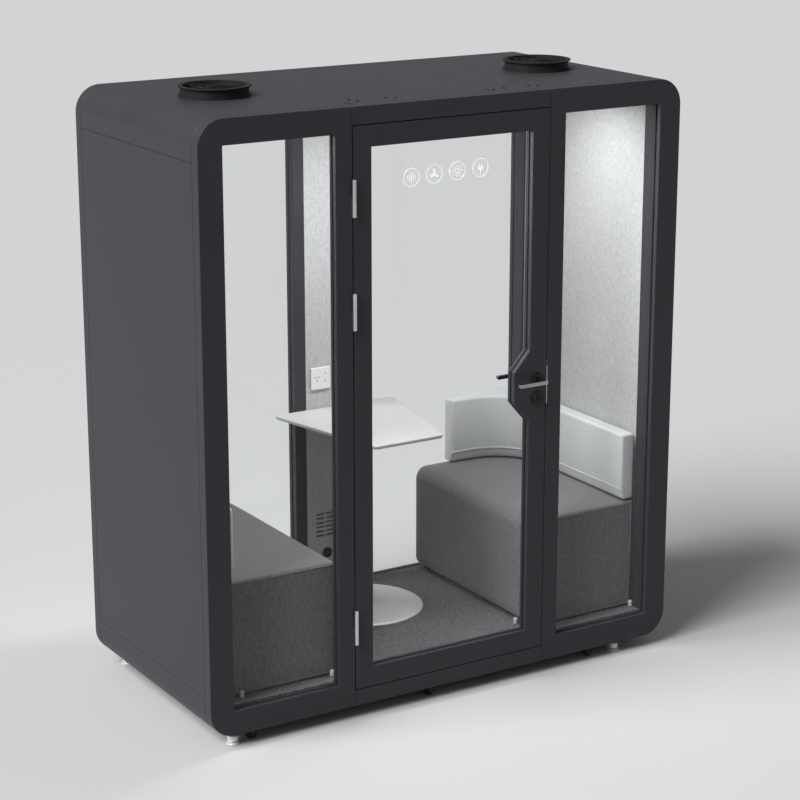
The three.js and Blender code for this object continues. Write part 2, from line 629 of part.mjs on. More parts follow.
function fanHousing(x) {
  const foot = HEIGHT + FIT;
  const top = foot + FAN_TALL;
  const inner = FAN_R - FAN_WALL;
  const barrel = turned([[inner, foot], [FAN_R + FAN_FLANGE, foot],
    [FAN_R + FAN_FLANGE, foot + FAN_FLANGE_THICK], [FAN_R, foot + FAN_FLANGE_THICK],
    [FAN_R, top - FAN_FLANGE_THICK], [FAN_R + FAN_FLANGE, top - FAN_FLANGE_THICK],
    [FAN_R + FAN_FLANGE, top], [inner, top], [inner, foot]], x, FAN_Y, 28);
  const spider = [0, 1].map((quarter) => box(-inner - 1, inner + 1, -WIRE, WIRE, foot, foot + WIRE)
    .rotateZ(quarter * Math.PI / 2).translate(x, FAN_Y, 0));
  const motor = disc(FAN_HUB_R, foot, foot + 2 * WIRE, x, FAN_Y, 24);
  const rings = Array.from({ length: GUARD_RINGS }, (_, i) => {
    const r = inner * (i + 1) / (GUARD_RINGS + 1);
    return turned([[r - WIRE / 2, top - WIRE], [r + WIRE / 2, top - WIRE], [r + WIRE / 2, top],
      [r - WIRE / 2, top], [r - WIRE / 2, top - WIRE]], x, FAN_Y, 20);
  });
  const spokes = [1, 3].map((eighth) => box(-inner - 1, inner + 1, -WIRE / 2, WIRE / 2, top - WIRE, top)
    .rotateZ(eighth * Math.PI / 4).translate(x, FAN_Y, 0));
  return join(barrel, ...spider, motor, ...rings, ...spokes);
}

function fanRotor(x) {
  const low = HEIGHT + FIT + 2 * WIRE + RUNNING;
  const high = HEIGHT + FIT + FAN_TALL - WIRE - BLADE_GAP;
  const tip = FAN_R - FAN_WALL - BLADE_GAP;
  const blades = Array.from({ length: FAN_BLADES }, (_, i) => (
    new THREE.BoxGeometry(tip - FAN_HUB_R / 2, BLADE_WIDE, BLADE_THICK)
      .rotateX(BLADE_PITCH)
      .translate((tip + FAN_HUB_R / 2) / 2, 0, (low + high) / 2)
      .rotateZ(i * 2 * Math.PI / FAN_BLADES)
      .translate(x, FAN_Y, 0)));
  return join(disc(FAN_HUB_R, low, high, x, FAN_Y, 24), ...blades);
}

FAN_XS.forEach((x, i) => {
  const side = i === 0 ? 'left' : 'right';
  add(`${side}_fan_housing`, fanHousing(x), black);
  add(`${side}_fan_rotor`, fanRotor(x), black);
});

// Levelling feet at the corners and rollers along the front and rear edges

function levellingFoot(x, y) {
  return turned([[0, -CLEARANCE], [FOOT_PAD_R, -CLEARANCE], [FOOT_PAD_R, FOOT_PAD_THICK / 2 - CLEARANCE],
    [FOOT_STEM_R, FOOT_PAD_THICK - CLEARANCE], [FOOT_STEM_R, -FIT], [0, -FIT]], x, y, 24);
}

FOOT_XS.forEach((x, i) => {
  const side = i === 0 ? 'left' : 'right';
  add(`front_${side}_foot`, levellingFoot(x, EDGE_INSET), steel);
  add(`rear_${side}_foot`, levellingFoot(x, DEPTH - EDGE_INSET), steel);
});

const WHEEL_Z = WHEEL_R + WHEEL_LIFT - CLEARANCE;
function rollerFork(x, y) {
  const half = WHEEL_WIDE / 2 + RUNNING;
  const outer = half + FORK_THICK;
  const plate = box(x - WHEEL_R, x + WHEEL_R, y - outer, y + outer, -FIT - FORK_PLATE, -FIT);
  const cheeks = [[-outer, -half], [half, outer]].map(([y0, y1]) => (
    box(x - WHEEL_R / 2, x + WHEEL_R / 2, y + y0, y + y1, WHEEL_Z - WHEEL_R / 2, -FIT - 1)));
  return join(plate, ...cheeks, barY(AXLE_R, y - outer - 1, y + outer + 1, x, WHEEL_Z, 16));
}

function rollerWheel(x, y) {
  return cut(barY(WHEEL_R, y - WHEEL_WIDE / 2, y + WHEEL_WIDE / 2, x, WHEEL_Z, 28),
    barY(AXLE_R + RUNNING, y - WHEEL_WIDE, y + WHEEL_WIDE, x, WHEEL_Z, 16));
}

const rollers = [
  ...ROLLER_XS.map((x) => ({ x, y: EDGE_INSET, row: 'front' })),
  ...ROLLER_REAR_XS.map((x) => ({ x, y: DEPTH - EDGE_INSET, row: 'rear' })),
];
rollers.forEach(({ x, y, row }, i) => {
  add(`${row}_roller_fork_${i + 1}`, rollerFork(x, y), black);
  add(`${row}_roller_wheel_${i + 1}`, rollerWheel(x, y), black);
});

export default pod;
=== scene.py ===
import bpy
import bmesh
import math
from mathutils import Matrix, Vector


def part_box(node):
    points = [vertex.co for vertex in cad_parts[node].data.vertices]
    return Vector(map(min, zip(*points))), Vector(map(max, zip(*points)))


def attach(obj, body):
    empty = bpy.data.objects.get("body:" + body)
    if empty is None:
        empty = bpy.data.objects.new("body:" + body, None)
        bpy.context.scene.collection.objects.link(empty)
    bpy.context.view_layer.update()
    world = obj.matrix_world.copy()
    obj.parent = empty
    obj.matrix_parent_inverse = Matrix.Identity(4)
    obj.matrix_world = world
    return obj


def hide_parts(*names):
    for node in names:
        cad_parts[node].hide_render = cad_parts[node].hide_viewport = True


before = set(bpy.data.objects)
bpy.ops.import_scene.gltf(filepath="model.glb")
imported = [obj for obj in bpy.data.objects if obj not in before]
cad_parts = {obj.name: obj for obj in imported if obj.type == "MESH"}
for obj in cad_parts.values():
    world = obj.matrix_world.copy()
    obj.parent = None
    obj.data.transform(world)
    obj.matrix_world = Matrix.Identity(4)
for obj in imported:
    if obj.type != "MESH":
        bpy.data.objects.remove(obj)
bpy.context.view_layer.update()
scene = bpy.context.scene
scene.view_settings.view_transform = "Standard"

# Studio: a wide floor, pale to the eye and darker to soft bounced light, under an even sky.
# One broad soft lamp from the upper left lights the roof and the side more than the front.
FLOOR_HALF = 90.0
FLOOR_ROUGHNESS = 0.9
FLOOR_SEEN = (0.46, 0.46, 0.465, 1.0)
FLOOR_BOUNCE = (0.17, 0.17, 0.173, 1.0)
floor_mesh = bmesh.new()
bmesh.ops.create_grid(floor_mesh, x_segments=1, y_segments=1, size=FLOOR_HALF)
floor_data = bpy.data.meshes.new("studio_floor")
floor_mesh.to_mesh(floor_data)
floor_mesh.free()
floor = bpy.data.objects.new("studio_floor", floor_data)
scene.collection.objects.link(floor)
floor_paint = bpy.data.materials.new("studio_floor_paint")
floor_paint.use_nodes = True
floor_tree = floor_paint.node_tree
floor_shader = floor_tree.nodes["Principled BSDF"]
floor_shader.inputs["Roughness"].default_value = FLOOR_ROUGHNESS
floor_path = floor_tree.nodes.new("ShaderNodeLightPath")
floor_tone = floor_tree.nodes.new("ShaderNodeMix")
floor_tone.data_type = "RGBA"
floor_tone.inputs[6].default_value = FLOOR_SEEN
floor_tone.inputs[7].default_value = FLOOR_BOUNCE
floor_tree.links.new(floor_path.outputs["Is Diffuse Ray"], floor_tone.inputs["Factor"])
floor_tree.links.new(floor_tone.outputs[2], floor_shader.inputs["Base Color"])
floor_data.materials.append(floor_paint)

SKY_COLOUR = (0.98, 0.98, 1.0, 1.0)
SKY_STRENGTH = 0.30
sky = bpy.data.worlds.new("studio_sky")
sky.use_nodes = True
sky_shader = sky.node_tree.nodes["Background"]
sky_shader.inputs["Color"].default_value = SKY_COLOUR
sky_shader.inputs["Strength"].default_value = SKY_STRENGTH
scene.world = sky

LAMP_STRENGTH = 5.1
LAMP_BREADTH = math.radians(40.0)
LAMP_WAY = Vector((0.78, 0.06, -0.74))
lamp_data = bpy.data.lights.new("window_light", "SUN")
lamp_data.energy = LAMP_STRENGTH
lamp_data.angle = LAMP_BREADTH
lamp = bpy.data.objects.new("window_light", lamp_data)
lamp.rotation_euler = LAMP_WAY.to_track_quat("-Z", "Y").to_euler()
scene.collection.objects.link(lamp)

CAMERA_SENSOR = 36.0
CAMERA_LENS = 101.66
CAMERA_FAR = 300.0
CAMERA_PLACE = (-4.297, -7.064, 3.372)
VIEW_AZIMUTH = math.radians(31.67)
VIEW_DOWN = math.radians(15.73)
camera_data = bpy.data.cameras.new("camera")
camera_data.sensor_width = CAMERA_SENSOR
camera_data.lens = CAMERA_LENS
camera_data.clip_end = CAMERA_FAR
camera = bpy.data.objects.new("camera", camera_data)
camera.location = CAMERA_PLACE
look = Vector((
    math.sin(VIEW_AZIMUTH) * math.cos(VIEW_DOWN),
    math.cos(VIEW_AZIMUTH) * math.cos(VIEW_DOWN),
    -math.sin(VIEW_DOWN),
))
camera.rotation_euler = look.to_track_quat("-Z", "Y").to_euler()
scene.collection.objects.link(camera)
scene.camera = camera


# Painted shell: base tray, roof, side panels and window frames of folded sheet steel,
# powder coated dark grey with a fine texture, screwed together edge to edge.
def grain_group():
    """Cloudy mask and fine height in the piece's own space, for coats, felts and cloths."""
    tree = bpy.data.node_groups.new("surface_grain", "ShaderNodeTree")
    tree.interface.new_socket("Cloud Scale", in_out="INPUT", socket_type="NodeSocketFloat")
    tree.interface.new_socket("Fine Scale", in_out="INPUT", socket_type="NodeSocketFloat")
    tree.interface.new_socket("Fine Share", in_out="INPUT", socket_type="NodeSocketFloat")
    tree.interface.new_socket("Upright Stretch", in_out="INPUT", socket_type="NodeSocketFloat")
    tree.interface.new_socket("Mask", in_out="OUTPUT", socket_type="NodeSocketFloat")
    tree.interface.new_socket("Height", in_out="OUTPUT", socket_type="NodeSocketFloat")
    take = tree.nodes.new("NodeGroupInput")
    give = tree.nodes.new("NodeGroupOutput")
    place = tree.nodes.new("ShaderNodeTexCoord")
    pull = tree.nodes.new("ShaderNodeCombineXYZ")
    pull.inputs["X"].default_value = 1.0
    pull.inputs["Y"].default_value = 1.0
    drawn = tree.nodes.new("ShaderNodeVectorMath")
    drawn.operation = "DIVIDE"
    tree.links.new(take.outputs["Upright Stretch"], pull.inputs["Z"])
    tree.links.new(place.outputs["Object"], drawn.inputs[0])
    tree.links.new(pull.outputs["Vector"], drawn.inputs[1])
    cloud_detail, fine_detail = 4.0, 2.0
    cloud = tree.nodes.new("ShaderNodeTexNoise")
    cloud.inputs["Detail"].default_value = cloud_detail
    fine = tree.nodes.new("ShaderNodeTexNoise")
    fine.inputs["Detail"].default_value = fine_detail
    blend = tree.nodes.new("ShaderNodeMix")
    for noise, scale in ((cloud, "Cloud Scale"), (fine, "Fine Scale")):
        tree.links.new(drawn.outputs["Vector"], noise.inputs["Vector"])
        tree.links.new(take.outputs[scale], noise.inputs["Scale"])
    tree.links.new(take.outputs["Fine Share"], blend.inputs["Factor"])
    tree.links.new(cloud.outputs["Fac"], blend.inputs["A"])
    tree.links.new(fine.outputs["Fac"], blend.inputs["B"])
    tree.links.new(blend.outputs["Result"], give.inputs["Mask"])
    tree.links.new(fine.outputs["Fac"], give.inputs["Height"])
    return tree


surface_grain = grain_group()


def finish(name, dark, light, roughness, cloud, fine, share, bump, depth, metallic=0.0, sheen=0.0,
           spread=(0.35, 0.65), stretch=1.0, gleam=0.5):
    """A finish whose colour runs from dark to light with the grain, roughness being (low, high)."""
    material = bpy.data.materials.new(name)
    material.use_nodes = True
    tree = material.node_tree
    shader = tree.nodes["Principled BSDF"]
    grain = tree.nodes.new("ShaderNodeGroup")
    grain.node_tree = surface_grain
    grain.inputs["Cloud Scale"].default_value = cloud
    grain.inputs["Fine Scale"].default_value = fine
    grain.inputs["Fine Share"].default_value = share
    grain.inputs["Upright Stretch"].default_value = stretch
    colours = tree.nodes.new("ShaderNodeValToRGB")
    colours.color_ramp.elements[0].position = spread[0]
    colours.color_ramp.elements[0].color = (*dark, 1.0)
    colours.color_ramp.elements[1].position = spread[1]
    colours.color_ramp.elements[1].color = (*light, 1.0)
    gloss = tree.nodes.new("ShaderNodeMapRange")
    gloss.inputs["From Min"].default_value = spread[0]
    gloss.inputs["From Max"].default_value = spread[1]
    gloss.inputs["To Min"].default_value = roughness[0]
    gloss.inputs["To Max"].default_value = roughness[1]
    relief = tree.nodes.new("ShaderNodeBump")
    relief.inputs["Strength"].default_value = bump
    relief.inputs["Distance"].default_value = depth
    tree.links.new(grain.outputs["Mask"], colours.inputs["Fac"])
    tree.links.new(grain.outputs["Mask"], gloss.inputs["Value"])
    tree.links.new(grain.outputs["Height"], relief.inputs["Height"])
    tree.links.new(colours.outputs["Color"], shader.inputs["Base Color"])
    tree.links.new(gloss.outputs["Result"], shader.inputs["Roughness"])
    tree.links.new(relief.outputs["Normal"], shader.inputs["Normal"])
    shader.inputs["Metallic"].default_value = metallic
    shader.inputs["Sheen Weight"].default_value = sheen
    shader.inputs["Specular IOR Level"].default_value = gleam
    return material


WELD_REACH = 0.00001
FLAT_WITHIN = math.radians(0.5)
FLAT_FACE_WEIGHT = 100


def dress(node, material, edge=0.0015, sharp=35.0):
    """Gives a carried-over solid its finish and rounds its sharp edges by a small amount."""
    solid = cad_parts[node]
    solid.data.materials.clear()
    solid.data.materials.append(material)
    solid.data.polygons.foreach_set("use_smooth", [True] * len(solid.data.polygons))
    weld = solid.modifiers.new("weld", "WELD")
    weld.merge_threshold = WELD_REACH
    flats = solid.modifiers.new("flats", "DECIMATE")
    flats.decimate_type = "DISSOLVE"
    flats.angle_limit = FLAT_WITHIN
    rounding = solid.modifiers.new("edge", "BEVEL")
    rounding.width = edge
    rounding.segments = 2
    rounding.limit_method = "ANGLE"
    rounding.angle_limit = math.radians(sharp)
    shading = solid.modifiers.new("shading", "WEIGHTED_NORMAL")
    shading.weight = FLAT_FACE_WEIGHT


powder_coat = finish("powder_coat", dark=(0.0265, 0.0255, 0.0315), light=(0.0345, 0.0335, 0.0405),
                     roughness=(0.42, 0.54), cloud=3.0, fine=900.0, share=0.5, bump=0.18, depth=0.0004,
                     gleam=0.3)
SHELL_NODES = (
    "base_tray", "roof_shell", "left_side_panel", "right_side_panel", "front_left_frame",
    "front_right_frame", "rear_left_frame", "rear_right_frame", "front_header", "front_sill",
    "rear_column_cover", "door_frame",
)
for node in SHELL_NODES:
    dress(node, powder_coat, edge=0.0025)

# Roof screws and slits: small black screw heads near the front edge of the roof, and narrow slits
# drawn as thin black blocks, painted shade for the dark inside of each slit, set into the roof skin above
# the header.
# Black plastic: the real colour of screws, glides, fans and the grommet, and also painted shade in the
# roof slits and socket pin slots.
black_plastic = finish("black_plastic", dark=(0.010, 0.010, 0.011), light=(0.016, 0.016, 0.017),
                       roughness=(0.5, 0.65), cloud=20.0, fine=700.0, share=0.5, bump=0.1, depth=0.0003,
                       gleam=0.2)
FRONT_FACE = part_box("front_left_frame")[0].y
BODY_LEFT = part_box("front_left_frame")[0].x
BODY_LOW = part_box("front_left_frame")[0].z
ROOF_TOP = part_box("roof_shell")[1].z


def at(x, y, z):
    """A place measured from the pod's lower left front corner, in metres."""
    return Vector((BODY_LEFT + x, FRONT_FACE + y, BODY_LOW + z))


def new_piece(name, mesh, material, body="shell", smooth=True):
    """Turns a finished bmesh into a piece that rides on a body."""
    bmesh.ops.recalc_face_normals(mesh, faces=mesh.faces)
    data = bpy.data.meshes.new(name)
    mesh.to_mesh(data)
    mesh.free()
    data.materials.append(material)
    data.polygons.foreach_set("use_smooth", [smooth] * len(data.polygons))
    piece = bpy.data.objects.new(name, data)
    scene.collection.objects.link(piece)
    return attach(piece, body)


def block(mesh, low, high, edge=0.0):
    """Adds a box between two corners, with rounded edges where an edge size is given."""
    made = bmesh.ops.create_cube(mesh, size=1.0)["verts"]
    bmesh.ops.scale(mesh, vec=high - low, verts=made)
    bmesh.ops.translate(mesh, vec=(low + high) / 2, verts=made)
    if edge:
        edges = list({e for v in made for e in v.link_edges})
        bmesh.ops.bevel(mesh, geom=edges, offset=edge, segments=2, profile=0.5, affect="EDGES",
                        material=-1)
    return made


def round_bar(mesh, centre, radius, long, axis="Z", sides=24, edge=0.0):
    """Adds a short round bar about a centre, along Y or Z, with rounded rims where an edge is given."""
    made = bmesh.ops.create_cone(mesh, cap_ends=True, segments=sides, radius1=radius, radius2=radius,
                                 depth=long)["verts"]
    if axis == "Y":
        bmesh.ops.rotate(mesh, matrix=Matrix.Rotation(math.pi / 2, 3, "X"), verts=made)
    bmesh.ops.translate(mesh, vec=centre, verts=made)
    if edge:
        rims = [e for e in {e for v in made for e in v.link_edges}
                if any(len(f.verts) > 4 for f in e.link_faces)]
        bmesh.ops.bevel(mesh, geom=rims, offset=edge, segments=2, profile=0.5, affect="EDGES",
                        material=-1)


ROOF_SCREWS = ((0.663, 0.148), (0.673, 0.106), (0.802, 0.127), (0.823, 0.100), (1.236, 0.099),
               (1.288, 0.113), (1.394, 0.110), (1.429, 0.098))
SCREW_RADIUS = 0.006
SCREW_TALL = 0.003
SCREW_RISE = 0.001
SCREW_EDGE = 0.001
ROOF_SLITS = (0.621, 1.215)
SLIT_BACK = 0.09
SLIT_HALF = Vector((0.003, 0.026, 0.0))
SLIT_DEEP = 0.001
SLIT_PROUD = 0.0008
screws = bmesh.new()
for x, y in ROOF_SCREWS:
    head = Vector((*at(x, y, 0.0).xy, ROOF_TOP + SCREW_RISE))
    round_bar(screws, head, SCREW_RADIUS, SCREW_TALL, edge=SCREW_EDGE, sides=16)
# Each slit is a thin black block standing a little proud: painted shade for the dark inside of the slit.
for x in ROOF_SLITS:
    slit = Vector((*at(x, SLIT_BACK, 0.0).xy, ROOF_TOP))
    block(screws, slit - SLIT_HALF - Vector((0.0, 0.0, SLIT_DEEP)),
          slit + SLIT_HALF + Vector((0.0, 0.0, SLIT_PROUD)))
new_piece("roof_screws_and_slit_shade", screws, black_plastic, smooth=False)

# Window glass: clear laminated acoustic panes, each held in a groove of its frame.
# Shadow and bounced light pass straight through, so the inside is lit as behind real glass.
GLASS_TINT = (0.975, 0.985, 0.985, 1.0)
GLASS_BEND = 1.2
clear_glass = bpy.data.materials.new("clear_glass")
clear_glass.use_nodes = True
glass_tree = clear_glass.node_tree
glass_shader = glass_tree.nodes["Principled BSDF"]
glass_shader.inputs["Base Color"].default_value = GLASS_TINT
glass_shader.inputs["Roughness"].default_value = 0.0
glass_shader.inputs["IOR"].default_value = GLASS_BEND
glass_shader.inputs["Transmission Weight"].default_value = 1.0
glass_path = glass_tree.nodes.new("ShaderNodeLightPath")
glass_either = glass_tree.nodes.new("ShaderNodeMath")
glass_either.operation = "MAXIMUM"
glass_through = glass_tree.nodes.new("ShaderNodeBsdfTransparent")
glass_mix = glass_tree.nodes.new("ShaderNodeMixShader")
glass_tree.links.new(glass_path.outputs["Is Shadow Ray"], glass_either.inputs[0])
glass_tree.links.new(glass_path.outputs["Is Diffuse Ray"], glass_either.inputs[1])
glass_tree.links.new(glass_either.outputs[0], glass_mix.inputs["Fac"])
glass_tree.links.new(glass_shader.outputs["BSDF"], glass_mix.inputs[1])
glass_tree.links.new(glass_through.outputs["BSDF"], glass_mix.inputs[2])
glass_out = glass_tree.nodes["Material Output"]
glass_tree.links.new(glass_mix.outputs["Shader"], glass_out.inputs["Surface"])
PANES = ("front_left_glass", "front_right_glass", "rear_left_glass", "rear_right_glass", "door_glass")
for node in PANES:
    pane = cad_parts[node]
    pane.data.materials.clear()
    pane.data.materials.append(clear_glass)

# Lining: mottled light grey needle felt on the side walls, ceiling and rear column,
# glued to the panels, and a speckled loop carpet on the deck.
needle_felt = finish("needle_felt", dark=(0.36, 0.365, 0.37), light=(0.58, 0.585, 0.59),
                     roughness=(0.9, 1.0), cloud=110.0, fine=330.0, share=0.5, bump=0.5, depth=0.002,
                     sheen=0.15, spread=(0.3, 0.7), stretch=1.6)
loop_carpet = finish("loop_carpet", dark=(0.014, 0.014, 0.016), light=(0.22, 0.22, 0.23),
                     roughness=(0.9, 1.0), cloud=110.0, fine=290.0, share=0.7, bump=0.8, depth=0.004,
                     sheen=0.1, spread=(0.40, 0.62))
for node in ("left_wall_felt", "right_wall_felt", "ceiling_felt", "rear_column_felt"):
    dress(node, needle_felt, edge=0.001)
dress("carpet", loop_carpet, edge=0.001)

# Socket plate, cable grommet and ceiling light: white moulded plate with pin slots drawn as thin black
# blocks, painted shade for the dark inside of each hole, a black ring for cables below the vent slots, and
# a slim diffuser overhead, screwed to the ceiling. The cabin's soft light falls from the ceiling on the
# door side.
white_plastic = finish("white_plastic", dark=(0.76, 0.76, 0.755), light=(0.84, 0.84, 0.835),
                       roughness=(0.35, 0.45), cloud=6.0, fine=500.0, share=0.4, bump=0.05,
                       depth=0.0003)
dress("socket_plate", white_plastic, edge=0.003)
dress("ceiling_light", white_plastic, edge=0.003)
CABIN_LIGHT_WIDE = 1.4
CABIN_LIGHT_DEEP = 0.25
CABIN_LIGHT_POWER = 22.0
CABIN_LIGHT_BACK = 0.28
CABIN_LIGHT_DROP = 0.004
diffuser_low, diffuser_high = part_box("ceiling_light")
cabin_data = bpy.data.lights.new("cabin_light", "AREA")
cabin_data.shape = "RECTANGLE"
cabin_data.size = CABIN_LIGHT_WIDE
cabin_data.size_y = CABIN_LIGHT_DEEP
cabin_data.energy = CABIN_LIGHT_POWER
cabin_light = bpy.data.objects.new("cabin_light", cabin_data)
cabin_light.location = ((diffuser_low.x + diffuser_high.x) / 2, FRONT_FACE + CABIN_LIGHT_BACK,
                        diffuser_low.z - CABIN_LIGHT_DROP)
scene.collection.objects.link(cabin_light)
plate_low, plate_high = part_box("socket_plate")
plate_middle = (plate_low + plate_high) / 2
SLOT_SIZE = Vector((0.0024, 0.0012, 0.0075))
SLOT_LEAN = math.radians(28.0)
PIN_SLOTS = ((-0.024, 0.006, -SLOT_LEAN), (-0.010, 0.006, SLOT_LEAN), (-0.017, -0.008, 0.0),
             (0.020, 0.020, 0.0), (0.020, -0.012, 0.0))
# Pin slots: thin black blocks on the plate's face, painted shade for the dark inside of each hole.
slots = bmesh.new()
for x, z, lean in PIN_SLOTS:
    centre = Vector((plate_middle.x + x, plate_low.y, plate_middle.z + z))
    made = block(slots, centre - SLOT_SIZE / 2, centre + SLOT_SIZE / 2)
    bmesh.ops.rotate(slots, cent=centre, matrix=Matrix.Rotation(lean, 3, "Y"), verts=made)
new_piece("socket_slot_shade", slots, black_plastic, smooth=False)
GROMMET_PLACE = at(1.001, 0.0, 0.243)
GROMMET_RADIUS = 0.021
GROMMET_THICK = 0.006
GROMMET_RIM = 0.006
GROMMET_TAPER = 0.0005
GROMMET_SINK = 0.004
column_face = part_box("rear_column_felt")[0].y
ring_middle = column_face - GROMMET_THICK / 2
grommet = bmesh.new()
round_bar(grommet, Vector((GROMMET_PLACE.x, ring_middle, GROMMET_PLACE.z)), GROMMET_RADIUS,
          GROMMET_THICK, axis="Y", sides=32)
front_cap = [f for f in grommet.faces if len(f.verts) > 4 and f.calc_center_median().y < ring_middle]
bmesh.ops.inset_region(grommet, faces=front_cap, thickness=GROMMET_RIM, depth=0.0)
bmesh.ops.inset_region(grommet, faces=front_cap, thickness=GROMMET_TAPER, depth=-GROMMET_SINK)
new_piece("cable_grommet", grommet, black_plastic, smooth=False)

# Seats: dark grey melange cloth over foam blocks, rolled over the sitting edge in one piece
# and sewn to a flat end panel, standing on low glides beside bright pegs near the front corners,
# whose pale, barely metallic colour is a painted reflection of chrome.
seat_cloth = finish("seat_cloth", dark=(0.060, 0.060, 0.064), light=(0.190, 0.190, 0.197),
                    roughness=(0.9, 1.0), cloud=140.0, fine=520.0, share=0.5, bump=0.7, depth=0.0018,
                    sheen=0.35, spread=(0.3, 0.7), stretch=2.5)
# Plated pegs and feet: a pale, barely metallic colour stands in as a painted reflection, where chrome
# would mirror the dark underside of the pod.
plate_painted_gleam = finish("plate_painted_gleam", dark=(0.72, 0.73, 0.74), light=(0.84, 0.85, 0.86),
                      roughness=(0.16, 0.26), cloud=8.0, fine=300.0, share=0.3, bump=0.05, depth=0.0002,
                      metallic=0.3, gleam=0.8)
SEAT_LIFT = 0.005
SEAT_ROUND = 0.048
SEAT_EDGE = 0.009
SEAT_SLACK = 0.012
SEAT_CROWN = 0.008
SEAT_DRAW = 0.003
GLIDE_INSET = 0.055
GLIDE_RADIUS = 0.017
GLIDE_BURY = 0.006
GLIDE_EDGE = 0.002
PEG_RADIUS = 0.0085
PEG_TALL = 0.024
PEG_EDGE = 0.003
PEG_BACK = 0.072
PEG_FROM_RIM = 0.043
PEG_FROM_WALL = {"left": 0.076, "right": 0.006}
SEAM_RADIUS = 0.0022
SEAT_CUTS = (11, 17, 7)
NEAR = 0.0001
SKIN = 0.9


def slice_through(mesh, axis, start, end, cuts):
    """Cuts a mesh by evenly spaced planes across one axis, so that it can be bent."""
    normal = Vector((0.0, 0.0, 0.0))
    normal[axis] = 1.0
    for step in range(1, cuts + 1):
        bmesh.ops.bisect_plane(mesh, geom=mesh.verts[:] + mesh.edges[:] + mesh.faces[:], dist=WELD_REACH,
                               plane_co=normal * (start + (end - start) * step / (cuts + 1)),
                               plane_no=normal)


def sew(mesh, points, radius):
    """A raised seam along a run of points, as short round lengths end to end."""
    for start, end in zip(points, points[1:]):
        way = end - start
        made = bmesh.ops.create_cone(mesh, cap_ends=True, segments=8, radius1=radius, radius2=radius,
                                     depth=way.length + radius)["verts"]
        bmesh.ops.rotate(mesh, matrix=way.to_track_quat("Z", "Y").to_matrix(), verts=made)
        bmesh.ops.translate(mesh, vec=(start + end) / 2, verts=made)


for side, sign in (("left", 1.0), ("right", -1.0)):
    low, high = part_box(side + "_seat")
    wall = low.x if side == "left" else high.x
    rim = high.x - SEAT_SLACK if side == "left" else low.x + SEAT_SLACK
    body_low = Vector((min(wall, rim), low.y, low.z + SEAT_LIFT))
    body_high = Vector((max(wall, rim), high.y, high.z - SEAT_CROWN))
    cushion = bmesh.new()
    block(cushion, body_low, body_high)
    rolled = [e for e in cushion.edges if all(abs(v.co.x - rim) < NEAR for v in e.verts)
              and e.calc_length() > body_high.y - body_low.y - NEAR]
    bmesh.ops.bevel(cushion, geom=rolled, offset=SEAT_ROUND, segments=8, profile=0.5, affect="EDGES",
                    material=-1)
    ends = [e for e in cushion.edges if abs(e.verts[0].co.y - e.verts[1].co.y) < NEAR]
    bmesh.ops.bevel(cushion, geom=ends, offset=SEAT_EDGE, segments=3, profile=0.5, affect="EDGES",
                    material=-1)
    panel = min(cushion.faces, key=lambda face: face.calc_center_median().y)
    hem = [v.co.copy() for v in panel.verts]
    for axis, cuts in enumerate(SEAT_CUTS):
        slice_through(cushion, axis, body_low[axis], body_high[axis], cuts)
    middle = (body_low + body_high) / 2
    half = (body_high - body_low) / 2
    for vert in cushion.verts:
        across = (vert.co.x - middle.x) / half.x
        along = (vert.co.y - middle.y) / half.y
        rise = (vert.co.z - middle.z) / half.z
        crown = max(0.0, 1.0 - across ** 4) * max(0.0, 1.0 - along ** 4)
        if rise > SKIN:
            vert.co.z += SEAT_CROWN * crown
        drawn = SEAT_DRAW * max(0.0, 1.0 - rise ** 2)
        if abs(across) > SKIN:
            vert.co.x -= math.copysign(drawn * max(0.0, 1.0 - along ** 4), across)
        if abs(along) > SKIN:
            vert.co.y -= math.copysign(drawn * max(0.0, 1.0 - across ** 4), along)
    seat = new_piece(side + "_seat_block", cushion, seat_cloth)
    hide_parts(side + "_seat")
    seam = bmesh.new()
    sew(seam, hem + hem[:1], SEAM_RADIUS)
    new_piece(side + "_seat_seam", seam, seat_cloth)
    glides = bmesh.new()
    for x in (low.x + GLIDE_INSET, high.x - GLIDE_INSET):
        for y in (low.y + GLIDE_INSET, high.y - GLIDE_INSET):
            round_bar(glides, Vector((x, y, low.z + (SEAT_LIFT + GLIDE_BURY) / 2)), GLIDE_RADIUS,
                      SEAT_LIFT + GLIDE_BURY, edge=GLIDE_EDGE)
    new_piece(side + "_seat_glides", glides, black_plastic, smooth=False)
    pegs = bmesh.new()
    for x, y in ((rim + sign * PEG_RADIUS, low.y + PEG_BACK),
                 (wall + sign * PEG_FROM_WALL[side], low.y - PEG_RADIUS),
                 (rim - sign * PEG_FROM_RIM, low.y - PEG_RADIUS)):
        round_bar(pegs, Vector((x, y, low.z + PEG_TALL / 2)), PEG_RADIUS, PEG_TALL, edge=PEG_EDGE)
    new_piece(side + "_seat_pegs", pegs, plate_painted_gleam, smooth=False)

